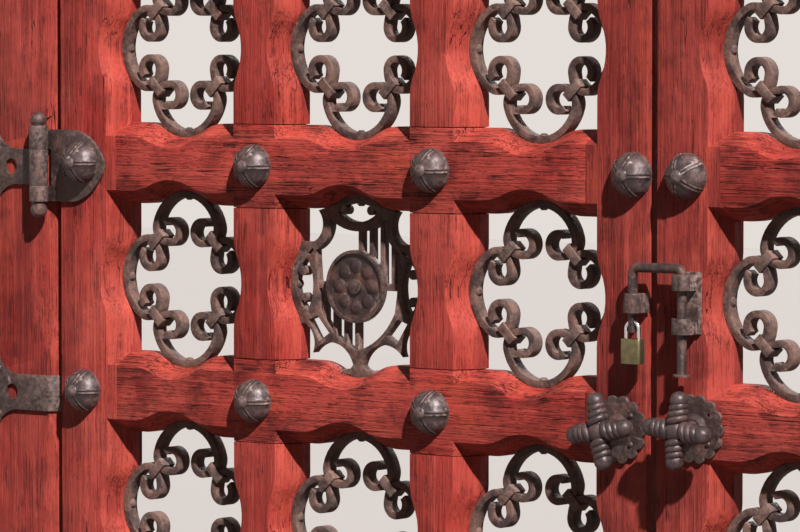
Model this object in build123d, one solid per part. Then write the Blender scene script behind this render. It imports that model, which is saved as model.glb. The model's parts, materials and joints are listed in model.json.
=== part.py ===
# Double-leaf timber lattice gate with wrought-iron scroll grilles, in its own frame.
# Millimetres, +Z up. The gate faces -Y, x = 0 is the middle of the meeting gap,
# z = 0 is the ground under the jambs.
from build123d import *
import math
import os

os.makedirs("parts", exist_ok=True)

# Lattice of one leaf
columns = 3
rows = 5
opening_width = 276.0  # one cell on the front face, chamfers included
opening_height = 290.0
hinge_stile_flat = 100.0  # flat front of each timber, between its chamfers
meeting_stile_flat = 92.0
muntin_flat = 86.0
rail_flat = 90.0
leaf_depth = 64.0
chamfer_width = 22.0
chamfer_depth = 40.0

# Scoops that seat the grilles
side_scoop_length = 75.0  # half its length along the timber
end_scoop_length = 85.0
scoop_radius = 80.0
front_side_scoop = 16.0  # depth on the front face
front_end_scoop = 19.0
seat_gap = 0.3

# Joinery
tenon_thickness = 20.0
rail_tenon_height = 66.0
rail_tenon_length = 50.0
muntin_tenon_width = 60.0
muntin_tenon_length = 12.0
joint_gap = 0.2

# Frame
jamb_width = 170.0
jamb_depth = 110.0
head_height = 150.0
ground_gap = 40.0
leaf_side_gap = 3.0
leaf_top_gap = 5.0
meeting_gap = 20.0
rebate_depth = 15.0
rebate_gap = 2.0
edge_facet_width = 27.0
edge_facet_depth = 30.0
face_facet_width = 44.0  # from the jamb's edge to where its flat begins
face_facet_depth = 11.0
facet_stop_length = 60.0
facet_stop_clear = 50.0  # plain length each side of a strap's middle
head_tenon_height = 60.0
head_tenon_thickness = 40.0

# Scroll grilles
bar_thickness = 11.0
bar_depth = 22.0
grille_half_width = 138.0
grille_half_height = 146.0
collar_offset = 63.0  # collar middle from the cell's middle, across and up
scroll_gap = 0.3
curl_radius = 23.7
curl_end = 260.0  # direction of the bar where its curl runs straight towards the eye
curl_run = 9.0
eye_radius = 18.5
eye_turn = 230.0
grille_setback = chamfer_depth + 1.0
collar_width = 16.0
collar_wall = 4.0
grille_nail_radius = 3.0
grille_nail_head_radius = 8.0
grille_nail_head_height = 4.0
grille_nail_length = 28.0  # in the timber
grille_nail_seat = 0.8  # under the head, where the bar bows
nail_gap = 0.1

# Centre shield; heights from the cell's middle
shield_depth = 16.0
shield_band = 11.0  # bracket, from its outer edge to its window
shield_crown = 13.0  # thickness at the top, where its nail goes through
shield_bar_width = 7.5
shield_bar_pitch = 22.3
shield_bar_setback = 3.0  # behind the shield's own face
bracket_half_height = 69.0
shield_tip = 122.0
medallion_radius = 58.5
medallion_thickness = 7.0
medallion_rim = 5.5
medallion_rim_height = 4.0
rosette_petals = 8
rosette_petal_radius = 12.0
rosette_ring_radius = 33.0
rosette_button_radius = 12.0
rosette_relief = 4.0

# Bosses, their ribs and shanks
boss_radius = 35.5
boss_height = 32.0
boss_base = 3.0
boss_ribs = 5  # each a pair of fine lines from the button to the rim
boss_line_width = 2.2
boss_line_spread = 5.2  # between the middles of a pair
boss_line_height = 1.3
boss_tip_radius = 10.5
boss_tip_height = 5.0
boss_shank_radius = 4.0
boss_shank_length = 40.0
hinge_boss_inset = 51.0
left_boss_inset = 25.0
right_boss_inset = 55.0

# Hinges
barrel_radius = 16.0
pin_radius = 6.0
pin_running_gap = 0.06
pivot_back = 34.0  # pivot beyond the leaf's edge, over the jamb
pivot_forward = 18.0
knuckle_top = 60.6  # heights from the rail's middle
knuckle_upper = 20.8
knuckle_lower = -39.1
knuckle_bottom = -66.4
knuckle_gap = 0.5
finial_radius = 14.0
finial_neck_radius = 12.0
top_neck_length = 1.0
bottom_neck_length = 6.0
hinge_plate_shoulder = 30.0
hinge_plate_reach = 99.0
hinge_plate_thickness = 6.0
hinge_plate_top = 54.0
hinge_plate_bottom = -66.0

# Straps on the jambs; heights from the strap's middle
strap_height = knuckle_upper - knuckle_lower
strap_middle = (knuckle_upper + knuckle_lower) / 2  # from the rail's middle
strap_thickness = 5.0
strap_flare_start = 100.0  # from the leaf's edge
strap_reach = 158.0
strap_flare_height = 122.0
strap_hole_radius = 13.0
strap_hole_reach = 109.0
strap_return = 30.0  # how far a plain strap runs round the jamb's edge
strap_nail_radius = 3.0
strap_nail_head_radius = 7.0
strap_nail_length = 40.0
strap_nail_spread = 38.0
strap_nail_reach = 140.0

# Handles
left_handle_inset = 50.0
right_handle_inset = 72.0
left_handle_tilt = 9.0
left_handle_drop = 8.0  # below the rail's middle
right_handle_drop = 0.0
right_handle_tilt = 5.0
rose_radius = 52.5
rose_scallops = 14
rose_scallop_radius = 10.0
rose_thickness = 6.0
rose_collar_radius = 24.0
rose_collar_height = 7.0
rose_screw_ring = 34.0
rose_screw_radius = 2.4
rose_screw_head_radius = 4.6
rose_screw_length = 30.0
rose_screw_angles = (40.0, 220.0, 320.0)
rose_spare_angle = 140.0  # its screw is missing on the right leaf
handle_standoff = 51.0
arm_length = 60.0
arm_root_radius = 19.0
arm_tip_radius = 14.0
arm_beads = 3
first_bead = 17.0  # from the handle's middle
bead_round = 6.2  # radius of a bead's own section
bead_groove = 4.6
bead_slant = 20.0  # leans the beads like the turns of a screw
hub_radius = 18.0
neck_radius = 14.0
spindle_radius = 8.0
spindle_running_gap = 0.06
nut_width = 30.0
nut_thickness = 12.0
nut_gap = 0.5

# Sliding bolt, its eyes and the keeper; heights from the middle of the cell row
rod_radius = 7.5
bolt_inset = 62.0  # long leg from the right leaf's meeting edge
bolt_reach = 8.0  # short leg past the left leaf's meeting edge
rod_standoff = 24.0
rod_bend_radius = 10.0
rod_top = 51.7
long_leg_end = -111.0
short_leg_end = -47.0
rod_gap = 0.5
stop_radius = 13.0
stop_thickness = 4.0
tip_thickness = 8.0  # short leg, flattened for the padlock
tip_length = 26.0
bolt_eye_radius = 15.5
bolt_eye_height = 24.0
bolt_eye_middles = (31.2, -35.0)
bolt_plate_width = 40.0
bolt_plate_height = 93.4
bolt_plate_thickness = 6.0
keeper_top = 12.0
keeper_height = 29.7
keeper_width = 30.0

# Padlock
padlock_width = 36.0
padlock_height = 38.0
padlock_depth = 18.0
padlock_corner = 5.0
shackle_radius = 3.25
shackle_bend = 11.5
shackle_rise = 14.5
shackle_sunk = 12.0
padlock_hole_height = -31.0
padlock_hole_radius = 4.4
keyway_width = 2.5
keyway_length = 9.0
keyway_depth = 8.0

# Sizes that follow from the ones above
grille_nail_y = grille_setback + bar_depth / 2
through_width = opening_width - 2 * chamfer_width
through_height = opening_height - 2 * chamfer_width
column_pitch = opening_width + muntin_flat
row_pitch = opening_height + rail_flat
leaf_width = (
    hinge_stile_flat + meeting_stile_flat + columns * opening_width + (columns - 1) * muntin_flat
)
leaf_height = rows * opening_height + (rows + 1) * rail_flat
hinge_stile_width = hinge_stile_flat + chamfer_width
meeting_stile_width = meeting_stile_flat + chamfer_width
muntin_width = muntin_flat + 2 * chamfer_width
rail_height = rail_flat + 2 * chamfer_width
side_scoop = grille_half_width + seat_gap - through_width / 2
end_scoop = grille_half_height + seat_gap - through_height / 2
handle_front = handle_standoff + max(hub_radius, arm_root_radius)
front_face = (handle_front - jamb_depth) / 2  # puts y = 0 midway through the gate's depth
leaf_edge = -(meeting_gap / 2 + leaf_width)
jamb_edge = -leaf_side_gap
jamb_height = ground_gap + leaf_height + leaf_top_gap
middle_row = rows // 2 + 1
middle_column = columns // 2 + 1
handle_rail = rows // 2 + 2
gate_half_width = -leaf_edge + leaf_side_gap + jamb_width


def rail_middle(rail):
    """Height of a rail's middle above the leaf's bottom edge, counted from the top."""
    return leaf_height - rail_flat / 2 - (rail - 1) * row_pitch


def column_middle(column):
    """Middle of a column of cells, from the leaf's hinge edge."""
    return hinge_stile_flat + opening_width / 2 + (column - 1) * column_pitch


def row_middle(row):
    """Height of a row of cells above the leaf's bottom edge, counted from the top."""
    return rail_middle(row) - row_pitch / 2


cell_places = [(c, r) for r in range(1, rows + 1) for c in range(1, columns + 1)]
grille_places = [place for place in cell_places if place != (middle_column, middle_row)]
muntin_middles = [column_middle(c) + column_pitch / 2 for c in range(1, columns)]
hinge_rails = [1, handle_rail - 1, rows + 1]
band_rails = [rail for rail in range(1, rows + 2) if rail not in hinge_rails]
bolt_height = row_middle(middle_row)
left_handle_place = (left_handle_inset, left_handle_drop)
right_handle_place = (right_handle_inset, right_handle_drop)


def upright(shape, depth):
    """Stands a flat outline up in the gate's plane, at a depth behind the front face."""
    return Plane.XZ.offset(-depth) * shape


def slab(shape, front, back):
    """A flat outline given thickness, from one depth to another."""
    return extrude(upright(shape, front), amount=back - front, dir=(0, 1, 0))


def block(low_x, high_x, front, back, low_z, high_z):
    """A plain bar between two corners."""
    middle = ((low_x + high_x) / 2, (front + back) / 2, (low_z + high_z) / 2)
    return Pos(*middle) * Box(high_x - low_x, back - front, high_z - low_z)


def rod_back(radius, front, back):
    """A round bar that runs straight back through the gate."""
    return slab(Circle(radius), front, back)


def place_left(shape):
    """Moves a piece of the leaf to where the left leaf hangs."""
    return Pos(leaf_edge, front_face, ground_gap) * shape


def to_right(shape):
    """The right-hand twin of a placed left-hand piece."""
    return mirror(shape, about=Plane.YZ)


def save(name, pieces):
    """Writes one node, as a single solid or a group of separate ones."""
    solids = [solid for piece in pieces for solid in piece.solids()]
    shape = solids[0] if len(solids) == 1 else Compound(children=solids)
    export_step(shape, f"parts/{name}.step")


def scooped_side(start, end, depth, half_length, radius):
    """One side of a cell: straight, with a smooth scoop bulging out at its middle."""
    start, end = Vector(*start), Vector(*end)
    along = (end - start).normalized()
    reach = (half_length**2 + depth**2) / (2 * depth)
    flare = reach - radius
    turn = math.degrees(math.asin(half_length / reach))
    into = (start + end) * 0.5 - along * half_length
    first = JernArc(into, along, flare, -turn)
    bowl = JernArc(first @ 1, first % 1, radius, 2 * turn)
    last = JernArc(bowl @ 1, bowl % 1, flare, -turn)
    return [Line(start, into), first, bowl, last, Line(last @ 1, end)]


def cell_outline(width, height, side_depth, end_depth, radius):
    """The outline of a cell with a scoop in each of its four sides."""
    right, top = width / 2, height / 2
    corners = [(right, -top), (right, top), (-right, top), (-right, -top)]
    edges = []
    for index, corner in enumerate(corners):
        following = corners[(index + 1) % 4]
        upward = index % 2 == 0
        depth = side_depth if upward else end_depth
        half_length = side_scoop_length if upward else end_scoop_length
        edges += scooped_side(corner, following, depth, half_length, radius)
    return make_face(edges)


def cell_cutter():
    """Everything that one cell takes out of its timbers, its grille's nail holes too."""
    through = cell_outline(through_width, through_height, side_scoop, end_scoop, scoop_radius)
    mouth = cell_outline(
        opening_width, opening_height, front_side_scoop, front_end_scoop, scoop_radius + chamfer_width
    )
    sections = [upright(mouth, 0), upright(through, chamfer_depth)]
    cutter = loft(sections, ruled=True)
    cutter += slab(mouth, -1, 0)
    cutter += slab(through, chamfer_depth, leaf_depth + 1)
    hole = Cylinder(grille_nail_radius + nail_gap, grille_nail_length)
    side_reach = grille_half_width + grille_nail_length / 2
    end_reach = grille_half_height + grille_nail_length / 2
    for side in (-1, 1):
        cutter += Pos(side * side_reach, grille_nail_y, 0) * Rot(0, 90, 0) * hole
        cutter += Pos(0, grille_nail_y, side * end_reach) * hole
    return cutter


def cut_cells(timber, cutter, places):
    """Takes the cells that border a timber out of it."""
    for column, row in places:
        timber -= Pos(column_middle(column), 0, row_middle(row)) * cutter
    return timber


def tenon(low_x, high_x, low_z, high_z, gap=0.0):
    """A tongue in the middle of the leaf's depth; a gap turns it into its mortise."""
    front = (leaf_depth - tenon_thickness) / 2
    back = front + tenon_thickness
    return block(low_x - gap, high_x + gap, front - gap, back + gap, low_z - gap, high_z + gap)


def rail_tenon(rail, low_x, high_x, gap=0.0):
    """The tongue at one end of a rail, or its mortise."""
    middle = rail_middle(rail)
    return tenon(low_x, high_x, middle - rail_tenon_height / 2, middle + rail_tenon_height / 2, gap)


def muntin_tenon(middle, low_z, high_z, gap=0.0):
    """The stub at one end of a muntin, or its mortise."""
    half = muntin_tenon_width / 2
    return tenon(middle - half, middle + half, low_z, high_z, gap)


def boss_holes(x_middle, rails):
    """Holes for the boss shanks at one upright, through the front of the timber."""
    hole = rod_back(boss_shank_radius + nail_gap, -1, boss_shank_length + nail_gap)
    return [Pos(x_middle, 0, rail_middle(rail)) * hole for rail in rails]


def hinge_stile(cutter):
    """The upright that carries the hinges."""
    timber = block(0, hinge_stile_width, 0, leaf_depth, 0, leaf_height)
    timber = cut_cells(timber, cutter, [(1, row) for row in range(1, rows + 1)])
    for rail in range(1, rows + 2):
        timber -= rail_tenon(rail, hinge_stile_width - rail_tenon_length, hinge_stile_width, joint_gap)
    return timber - boss_holes(hinge_boss_inset, range(1, rows + 2))


def meeting_stile(cutter, boss_inset, handle_place):
    """The upright at the middle of the gate, with the handle's bore."""
    low_x = leaf_width - meeting_stile_width
    timber = block(low_x, leaf_width, 0, leaf_depth, 0, leaf_height)
    timber = cut_cells(timber, cutter, [(columns, row) for row in range(1, rows + 1)])
    for rail in range(1, rows + 2):
        timber -= rail_tenon(rail, low_x, low_x + rail_tenon_length, joint_gap)
    boss_rails = [rail for rail in range(1, rows + 2) if rail != handle_rail]
    timber -= boss_holes(leaf_width - boss_inset, boss_rails)
    return timber - handle_bore(handle_place)


def handle_bore(place):
    """The hole through the leaf for the handle's spindle, and the holes for the rose's screws."""
    bore = rod_back(spindle_radius + spindle_running_gap, -1, leaf_depth + 1)
    screw_hole = rod_back(rose_screw_radius + nail_gap, -1, rose_screw_length + nail_gap)
    for angle in rose_screw_angles + (rose_spare_angle,):
        bore += Rot(0, -angle, 0) * Pos(rose_screw_ring, 0, 0) * screw_hole
    return at_handle(bore, place)


def rail(number, cutter):
    """A cross timber with its tenons, cut by the cells above and below it."""
    middle = rail_middle(number)
    low_z = max(middle - rail_height / 2, 0)
    high_z = min(middle + rail_height / 2, leaf_height)
    low_x, high_x = hinge_stile_width, leaf_width - meeting_stile_width
    timber = block(low_x, high_x, 0, leaf_depth, low_z, high_z)
    beside = [row for row in (number - 1, number) if 1 <= row <= rows]
    timber = cut_cells(timber, cutter, [(c, row) for row in beside for c in range(1, columns + 1)])
    timber += rail_tenon(number, low_x - rail_tenon_length, low_x)
    timber += rail_tenon(number, high_x, high_x + rail_tenon_length)
    for middle_x in muntin_middles:
        if number > 1:
            timber -= muntin_tenon(middle_x, high_z - muntin_tenon_length, high_z, joint_gap)
        if number <= rows:
            timber -= muntin_tenon(middle_x, low_z, low_z + muntin_tenon_length, joint_gap)
        timber -= boss_holes(middle_x, [number])
    return timber


def muntin(cutter):
    """The short upright between two cells of the first row, with its stub tenons."""
    middle_x, middle_z = muntin_middles[0], row_middle(1)
    low_x, high_x = middle_x - muntin_width / 2, middle_x + muntin_width / 2
    low_z, high_z = middle_z - through_height / 2, middle_z + through_height / 2
    timber = block(low_x, high_x, 0, leaf_depth, low_z, high_z)
    timber = cut_cells(timber, cutter, [(1, 1), (2, 1)])
    timber += muntin_tenon(middle_x, low_z - muntin_tenon_length, low_z)
    return timber + muntin_tenon(middle_x, high_z, high_z + muntin_tenon_length)


def muntins(cutter):
    """All the muntins of a leaf."""
    first = muntin(cutter)
    return [
        Pos(column * column_pitch, 0, -row * row_pitch) * first
        for row in range(rows)
        for column in range(columns - 1)
    ]


def scroll_side(reach, offset):
    """Half of one face of a scroll's bar, from the lobe's tip to the eye of its curl."""
    bar_to_diagonal = (bar_thickness + scroll_gap) / 2 * math.sqrt(0.5)
    collar_x = collar_offset + bar_to_diagonal
    collar_y = collar_offset - bar_to_diagonal
    shoulder = collar_y - curl_radius * math.sqrt(0.5)
    rise = reach - collar_x - curl_radius * (1 + math.sqrt(0.5))
    lobe_turn = 2 * math.degrees(math.atan(rise / shoulder))
    lobe_radius = shoulder / math.sin(math.radians(lobe_turn)) + curl_radius
    lobe = JernArc((reach + offset, 0), (0, 1), lobe_radius + offset, lobe_turn)
    curl = JernArc(lobe @ 1, lobe % 1, curl_radius + offset, curl_end - 90 - lobe_turn)
    run = Line(curl @ 1, curl @ 1 + (curl % 1) * curl_run)
    eye = JernArc(run @ 1, curl % 1, eye_radius + offset, eye_turn)
    return [lobe, curl, run, eye]


def scroll(half_size):
    """A C-scroll with its lobe towards +X, bent from flat bar and pierced for its nail."""
    reach = half_size - bar_thickness / 2
    outer = scroll_side(reach, bar_thickness / 2)
    inner = scroll_side(reach, -bar_thickness / 2)
    half = outer + inner + [Line(outer[-1] @ 1, inner[-1] @ 1)]
    outline = make_face(half + [mirror(edge, about=Plane.XZ) for edge in half])
    bar = slab(outline, grille_setback, grille_setback + bar_depth)
    hole = Cylinder(grille_nail_radius + nail_gap, 3 * bar_thickness)
    return bar - Pos(reach, grille_nail_y, 0) * Rot(0, 90, 0) * hole


def grille_scrolls():
    """The four scrolls of one grille: right, top, left and bottom."""
    side, end = scroll(grille_half_width), scroll(grille_half_height)
    return [Rot(0, -turn, 0) * shape for turn, shape in ((0, side), (90, end), (180, side), (270, end))]


def collar():
    """The band that ties two neighbouring scrolls back to back, at the upper right."""
    inner_radius = curl_radius - bar_thickness / 2
    splay = inner_radius - math.sqrt(inner_radius**2 - (collar_width / 2) ** 2)
    across = 2 * (bar_thickness + splay) + scroll_gap + 2 * joint_gap
    depth = bar_depth + 2 * joint_gap
    ring = Box(collar_width, depth + 2 * collar_wall, across + 2 * collar_wall)
    ring -= Box(2 * collar_width, depth, across)
    return Pos(collar_offset, grille_nail_y, collar_offset) * Rot(0, -45, 0) * ring


def grille_collars():
    """The four collars of one grille."""
    first = collar()
    upper = [first, mirror(first, about=Plane.YZ)]
    return upper + [mirror(piece, about=Plane.XY) for piece in upper]


def grille_nail(half_size, wall):
    """A round-headed nail from inside a lobe into the timber, towards +X."""
    head_seat = half_size - wall - grille_nail_seat
    shank_length = half_size + grille_nail_length - nail_gap - head_seat
    shank = Pos(head_seat + shank_length / 2, 0, 0) * Rot(0, 90, 0) * Cylinder(grille_nail_radius, shank_length)
    head = Pos(head_seat - grille_nail_head_height / 2, 0, 0) * Rot(0, -90, 0)
    head *= Cone(grille_nail_head_radius, grille_nail_head_radius / 2, grille_nail_head_height)
    return Pos(0, grille_nail_y, 0) * (shank + head)


def cell_nails(wall):
    """The four nails of one cell."""
    side, end = grille_nail(grille_half_width, wall), grille_nail(grille_half_height, wall)
    return [Rot(0, -turn, 0) * shape for turn, shape in ((0, side), (90, end), (180, side), (270, end))]


def in_every_grille(pieces):
    """Copies one grille's pieces into every cell that holds a grille."""
    return [
        Pos(column_middle(column), 0, row_middle(row)) * piece
        for column, row in grille_places
        for piece in pieces
    ]


def in_middle_cell(piece):
    """Moves a piece to the cell that holds the shield."""
    return Pos(column_middle(middle_column), 0, row_middle(middle_row)) * piece


def shield_half_outline():
    """The right half of the shield's outline, from the middle of its top to its foot."""
    top, side = grille_half_height, grille_half_width
    ear, tip, tip_z = (80.0, 120.0), shield_tip, bracket_half_height
    lower_ear = (92.0, -110.0)
    ankle = (9.0, -126.0)
    return [
        ThreePointArc((0, top), (22.0, 142.6), (42.0, 131.5)),
        Line((42.0, 131.5), ear),
        ThreePointArc(ear, (71.0, 95.0), (92.0, 69.0)),
        Line((92.0, 69.0), (tip, tip_z)),
        ThreePointArc((tip, tip_z), (side, 0), (tip, -tip_z)),
        Line((tip, -tip_z), (111.0, -62.0)),
        ThreePointArc((111.0, -62.0), (90.0, -84.0), lower_ear),
        ThreePointArc(lower_ear, (45.0, -93.0), ankle),
        ThreePointArc(ankle, (16.0, -133.0), (30.0, -134.0)),
        Line((30.0, -134.0), (34.0, -140.0)),
        Line((34.0, -140.0), (24.0, -top)),
        Line((24.0, -top), (0, -top)),
    ]


def shield_field():
    """The open field inside the shield's border, before its bars are put across it."""
    half = [
        ThreePointArc((0, 88), (30, 93), (56, 107)),
        ThreePointArc((56, 107), (60, 80), (86, 56)),
        ThreePointArc((86, 56), (82.5, 8), (76, -40)),
        ThreePointArc((76, -40), (45, -80), (0, -103)),
    ]
    return make_face(half + [mirror(edge, about=Plane.YZ) for edge in half])


def shield_bars():
    """Upright bars in two of the field's quarters and a cross bar between the quarters."""
    reach = grille_half_height
    bars = Rectangle(2 * shield_tip, shield_band)
    for index in range(4):
        middle = index * shield_bar_pitch + shield_bar_width / 2
        bars += Pos(middle, reach / 2) * Rectangle(shield_bar_width, reach)
        bars += Pos(-middle, -reach / 2) * Rectangle(shield_bar_width, reach)
    return bars & shield_field()


def shield_side_windows():
    """The openings at the right of the field: behind the bracket, above it and below it."""
    tip_x, tip_z = 103.0, 43.0
    outer, inner = grille_half_width - shield_band, 91.0
    window = make_face(
        [
            ThreePointArc((tip_x, -tip_z), (outer, 0), (tip_x, tip_z)),
            ThreePointArc((tip_x, tip_z), (inner, 0), (tip_x, -tip_z)),
        ]
    )
    for side in (-1, 1):
        hook = Pos(112, side * 22) * Circle(8.0) + Pos(121, side * 27) * Circle(7.0)
        window -= hook - Pos(113, side * 29) * Circle(3.2)
    slot = Pos(96, 53) * Rot(0, 0, -42) * Rectangle(14.0, 5.0)
    lower = make_face(Polyline((101, -57), (82, -50), (58, -77), (79, -91), close=True))
    return [window, slot, lower]


def crown_window():
    """The bowl-shaped opening at the shield's top, with a curl at each of its upper corners."""
    crown_z = grille_half_height - shield_crown
    window = make_face(
        [
            ThreePointArc((-40, 118), (0, 103), (40, 118)),
            Line((40, 118), (34, 126)),
            ThreePointArc((34, 126), (0, crown_z), (-34, 126)),
            Line((-34, 126), (-40, 118)),
        ]
    )
    for side in (-1, 1):
        window -= Pos(side * 27, 122) * Circle(7.5)
    return window


def shield():
    """The pierced shield, forged in one piece, with its bars behind the medallion."""
    half = shield_half_outline()
    outline = make_face(half + [mirror(edge, about=Plane.YZ) for edge in half])
    outline &= cell_outline(through_width, through_height, side_scoop, end_scoop, scoop_radius)
    pierced = outline - shield_field() - crown_window()
    for window in shield_side_windows():
        pierced = pierced - window - mirror(window, about=Plane.YZ)
    back = grille_setback + shield_depth
    body = slab(pierced, grille_setback, back)
    body += slab(shield_bars(), grille_setback + shield_bar_setback, back)
    for turn, reach in ((0, grille_half_width), (90, grille_half_height), (180, grille_half_width)):
        hole = Cylinder(grille_nail_radius + nail_gap, 3 * shield_band)
        body -= Rot(0, -turn, 0) * Pos(reach, grille_nail_y, 0) * Rot(0, 90, 0) * hole
    return body


def medallion():
    """The round medallion with a raised rim and a rosette of petals."""
    back = grille_setback + shield_bar_setback
    front = back - medallion_thickness
    disc = rod_back(medallion_radius, front, back)
    rim = Circle(medallion_radius) - Circle(medallion_radius - medallion_rim)
    disc += slab(rim, front - medallion_rim_height, front)
    petal_ball = (rosette_petal_radius**2 + rosette_relief**2) / (2 * rosette_relief)
    ball = Pos(0, front + petal_ball - rosette_relief, 0) * Sphere(petal_ball)
    petal = ball & rod_back(rosette_petal_radius, front - rosette_relief - 1, front + 1)
    for index in range(rosette_petals):
        turn = 360 / rosette_petals * index
        disc += Rot(0, turn, 0) * Pos(rosette_ring_radius, 0, 0) * petal
    return disc + rod_back(rosette_button_radius, front - rosette_relief, front)


def shield_nails():
    """The nails that hold the shield at its brackets and its crown."""
    side = grille_nail(grille_half_width, shield_band)
    top = grille_nail(grille_half_height, shield_crown)
    return [side, Rot(0, 180, 0) * side, Rot(0, -90, 0) * top]


def boss_core():
    """The radius of the ball that a boss's dome is cut from."""
    rise = boss_height - boss_base
    return (boss_radius**2 + rise**2) / (2 * rise)


def boss_rib():
    """A pair of fine raised lines over the dome, from its button to its rim, towards +Z."""
    ball = boss_core()
    line = slab(Circle(ball + boss_line_height), -boss_line_width / 2, boss_line_width / 2)
    pair = Pos(0, -boss_line_spread / 2, 0) * line + Pos(0, boss_line_spread / 2, 0) * line
    pair = Pos(0, -boss_height + ball, 0) * Rot(0, 0, -90) * pair
    reach = boss_height + boss_line_height
    return pair & block(-boss_radius, boss_radius, -reach, -boss_base, boss_tip_radius / 2, boss_radius)


def boss():
    """A melon-shaped boss: a dome with paired ribs, a round button and a shank."""
    ball = boss_core()
    dome = (Pos(0, -boss_height + ball, 0) * Sphere(ball)) & rod_back(boss_radius, -boss_height - 1, -boss_base)
    ribs = boss_rib()
    for index in range(1, boss_ribs):
        ribs += Rot(0, index * 360 / boss_ribs, 0) * boss_rib()
    dome += Rot(0, 90, 0) * ribs & rod_back(boss_radius, -boss_height - boss_line_height, -boss_base)
    dome += rod_back(boss_radius, -boss_base, 0)
    tip_ball = (boss_tip_radius**2 + boss_tip_height**2) / (2 * boss_tip_height)
    tip = Pos(0, tip_ball - boss_height - boss_tip_height, 0) * Sphere(tip_ball)
    dome += tip & rod_back(boss_tip_radius, -boss_height - boss_tip_height - 1, -boss_height + boss_tip_height)
    return dome + rod_back(boss_shank_radius, 0, boss_shank_length)


def bosses(boss_inset):
    """All the bosses of a leaf; those over a hinge sit on its plate."""
    one = boss()
    pieces = []
    for number in range(1, rows + 2):
        height = rail_middle(number)
        plate = hinge_plate_thickness if number in hinge_rails else 0
        pieces.append(Pos(hinge_boss_inset, -plate, height) * one)
        pieces += [Pos(middle_x, 0, height) * one for middle_x in muntin_middles]
        if number != handle_rail:
            pieces.append(Pos(leaf_width - boss_inset, 0, height) * one)
    return pieces


def knuckle(low, high):
    """One barrel section of a hinge, bored for its pin."""
    length = high - low
    bore = pin_radius + pin_running_gap
    barrel = Cylinder(barrel_radius, length) - Cylinder(bore, 2 * length)
    return Pos(-pivot_back, -pivot_forward, (low + high) / 2) * barrel


def leaf_plate_outline():
    """The plate of a hinge on the leaf, rounded off beyond the boss that sits on it."""
    top, bottom = (hinge_plate_shoulder, hinge_plate_top), (hinge_plate_shoulder, hinge_plate_bottom)
    nose_top, nose_bottom = (90, 18), (90, -27)
    return make_face(
        [
            Line((0, hinge_plate_top), top),
            ThreePointArc(top, (65, 43), nose_top),
            ThreePointArc(nose_top, (hinge_plate_reach, -4.5), nose_bottom),
            ThreePointArc(nose_bottom, (67, -52), bottom),
            Line(bottom, (0, hinge_plate_bottom)),
            Line((0, hinge_plate_bottom), (0, hinge_plate_top)),
        ]
    )


def leaf_hinge_plate():
    """The leaf's half of a hinge: a wavy plate with an upper and a lower knuckle."""
    shoulder = block(-pivot_back, 1, -hinge_plate_thickness, 0, hinge_plate_bottom, hinge_plate_top)
    low, high = knuckle_lower - knuckle_gap, knuckle_upper + knuckle_gap
    notch = barrel_radius + pivot_back
    shoulder -= block(-notch, barrel_radius + knuckle_gap - pivot_back, -pivot_forward, 1, low, high)
    plate = slab(leaf_plate_outline(), -hinge_plate_thickness, 0) + shoulder
    for low, high in ((knuckle_upper + knuckle_gap, knuckle_top), (knuckle_bottom, knuckle_lower - knuckle_gap)):
        plate += knuckle(low, high)
        bore = Cylinder(pin_radius + pin_running_gap, 2 * (high - low))
        plate -= Pos(-pivot_back, -pivot_forward, (low + high) / 2) * bore
    return plate - rod_back_at(hinge_boss_inset, 0, boss_shank_radius + nail_gap)


def rod_back_at(x_middle, z_middle, radius):
    """A drill through a plate that lies on the front face."""
    return Pos(x_middle, 0, z_middle) * rod_back(radius, -2 * strap_thickness, 2 * strap_thickness)


def strap_outline(start):
    """A strap on the jamb with a fishtail end, measured back from the leaf's edge."""
    half, flare = strap_height / 2, strap_flare_height / 2
    waist, tail = -strap_flare_start, -strap_reach
    upper = [
        Line((start, half), (waist, half)),
        ThreePointArc((waist, half), (waist - 22, half + 7), (tail + 16, flare)),
        Line((tail + 16, flare), (tail, flare - 8)),
        ThreePointArc((tail, flare - 8), (tail + 12, flare / 2), (tail + 5, 0)),
    ]
    edges = upper + [mirror(edge, about=Plane.XZ) for edge in upper]
    return make_face(edges + [Line((start, half), (start, -half))])


def strap_nail_places():
    """Where a strap is nailed to the jamb, beside its leaf's edge."""
    return [(-strap_nail_reach, strap_nail_spread), (-strap_nail_reach, -strap_nail_spread)]


def strap_blade(start):
    """The flat part of a strap, pierced in the middle and drilled for its nails."""
    outline = strap_outline(start) - Pos(-strap_hole_reach, 0) * Circle(strap_hole_radius)
    blade = slab(outline, -strap_thickness, 0)
    for x_middle, z_middle in strap_nail_places():
        blade -= rod_back_at(x_middle, z_middle, strap_nail_radius + nail_gap)
    return blade


def hinge_strap():
    """The jamb's half of a hinge, with the middle knuckle."""
    middle = knuckle(knuckle_lower, knuckle_upper)
    blade = Pos(0, 0, strap_middle) * strap_blade(-pivot_back)
    bore = Cylinder(pin_radius + pin_running_gap, 2 * strap_height)
    return blade + middle - Pos(-pivot_back, -pivot_forward, strap_middle) * bore


def edge_profile():
    """Plan of the jamb's front edge at a strap, as points from its flat round to its side."""
    return [
        (jamb_edge - edge_facet_width, 0),
        (jamb_edge, edge_facet_depth),
        (jamb_edge, edge_facet_depth + strap_return),
    ]


def band_strap():
    """A plain strap that wraps over the jamb's front edge."""
    flat_end, corner, tail = edge_profile()
    slope = math.atan2(edge_facet_depth, edge_facet_width)
    room = leaf_side_gap / 3
    bend = (flat_end[0] + strap_thickness * math.tan(slope / 2), -strap_thickness)
    outer_y = bend[1] + (corner[0] + room - bend[0]) * math.tan(slope)
    start = jamb_edge - face_facet_width
    plan = [(start, 0), flat_end, corner, tail, (tail[0] + room, tail[1])]
    plan += [(corner[0] + room, outer_y), bend, (start, -strap_thickness)]
    wrap = extrude(make_face(Polyline(*plan, close=True)), amount=strap_height / 2, both=True)
    return Pos(0, 0, strap_middle) * (strap_blade(start) + wrap)


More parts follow.
